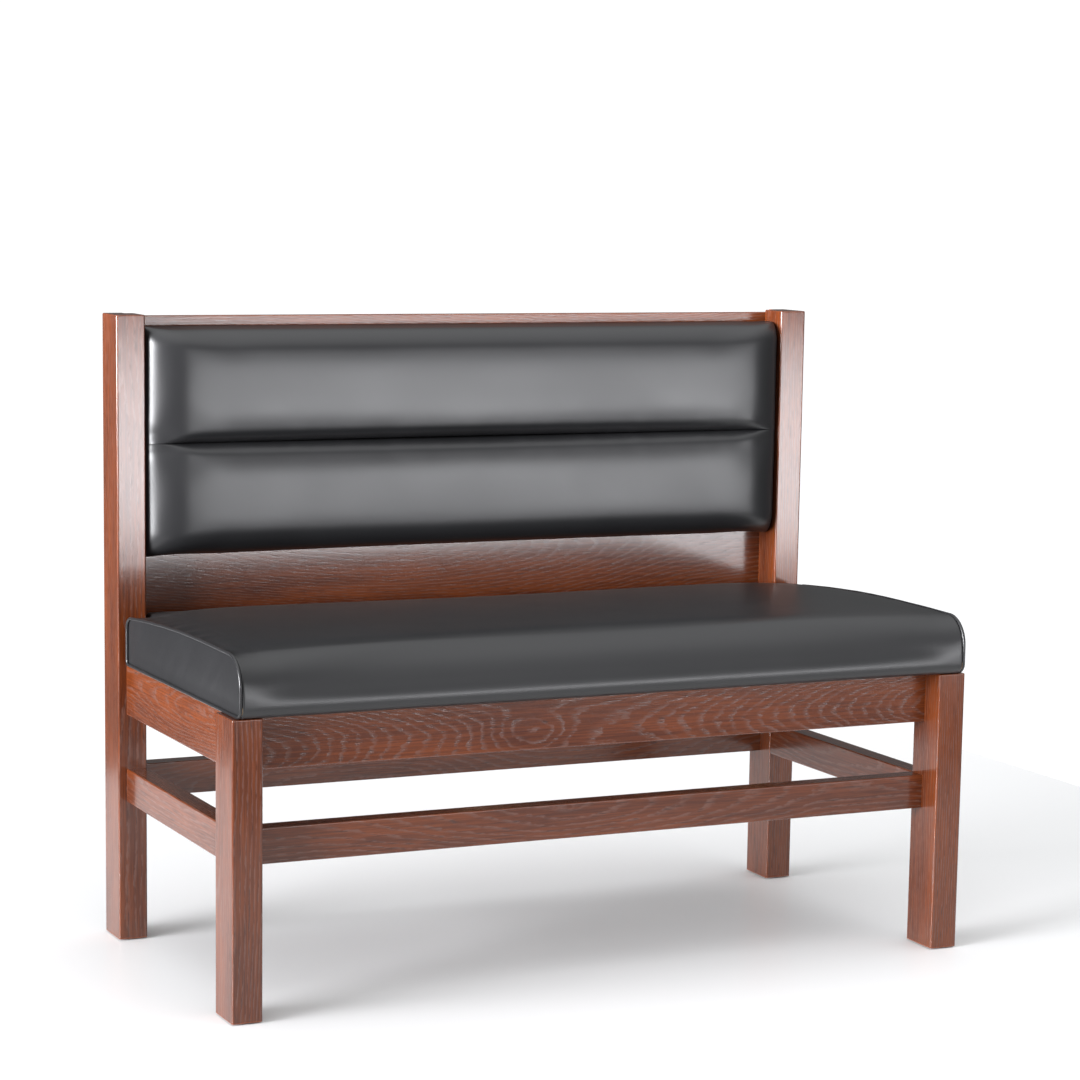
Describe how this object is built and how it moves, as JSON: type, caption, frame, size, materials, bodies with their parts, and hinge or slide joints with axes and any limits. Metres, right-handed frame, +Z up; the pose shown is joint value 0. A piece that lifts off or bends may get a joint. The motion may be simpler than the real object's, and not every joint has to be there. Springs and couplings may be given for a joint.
{
  "type": "church pew",
  "caption": "Short upholstered church pew: stained timber frame with low stretchers, a bull-nosed seat cushion with piped ends and a back pad of two rolls.",
  "frame": {"origin": "on the floor, midway along the unit's width and depth", "axes": "+X along the seat, +Y from the sitter's knees to the back, +Z up; the seat faces -Y"},
  "size_m": [1.05, 0.529, 0.85],
  "materials": {
    "stained_ash": "dark red-brown stain under gloss lacquer, open grain",
    "panel_veneer": "dark red-brown stain under gloss lacquer, grain across",
    "bare_beech": "bare sawn timber",
    "dowel_beech": "fluted beech",
    "plywood": "bare plywood",
    "zinc_screws": "zinc plated",
    "staple_wire": "galvanised wire",
    "glide_nylon": "moulded nylon",
    "foam": "polyurethane foam",
    "black_vinyl": "satin black upholstery vinyl, fine grain",
    "vinyl_welt": "satin black piping",
    "dust_cloth": "black spun-bonded cloth"
  },
  "bodies": {
    "root": {"front_leg_left": "stained_ash", "front_leg_right": "stained_ash", "back_post_left": "stained_ash", "back_post_right": "stained_ash", "seat_rail_front": "stained_ash", "seat_rail_back": "stained_ash", "seat_rail_left": "stained_ash", "seat_rail_right": "stained_ash", "stretcher_front": "stained_ash", "stretcher_back": "stained_ash", "stretcher_left": "stained_ash", "stretcher_right": "stained_ash", "back_panel": "panel_veneer", "seat_bearer": "bare_beech", "corner_block_front_left": "bare_beech", "corner_block_front_right": "bare_beech", "corner_block_back_left": "bare_beech", "corner_block_back_right": "bare_beech", "rail_dowels": "dowel_beech", "stretcher_dowels": "dowel_beech", "bearer_dowels": "dowel_beech", "corner_block_screws": "zinc_screws", "seat_fixing_screws": "zinc_screws", "panel_screws": "zinc_screws", "pad_screws": "zinc_screws", "glide_front_left": "glide_nylon", "glide_front_right": "glide_nylon", "glide_back_left": "glide_nylon", "glide_back_right": "glide_nylon", "seat_board": "plywood", "pad_board": "plywood", "seat_foam": "foam", "pad_foam_upper": "foam", "pad_foam_lower": "foam", "seat_cover": "black_vinyl", "seat_end_left": "black_vinyl", "seat_end_right": "black_vinyl", "pad_cover": "black_vinyl", "seat_welt_left": "vinyl_welt", "seat_welt_right": "vinyl_welt", "seat_dust_cover": "dust_cloth", "seat_staples": "staple_wire"}
  },
  "joints": []
}
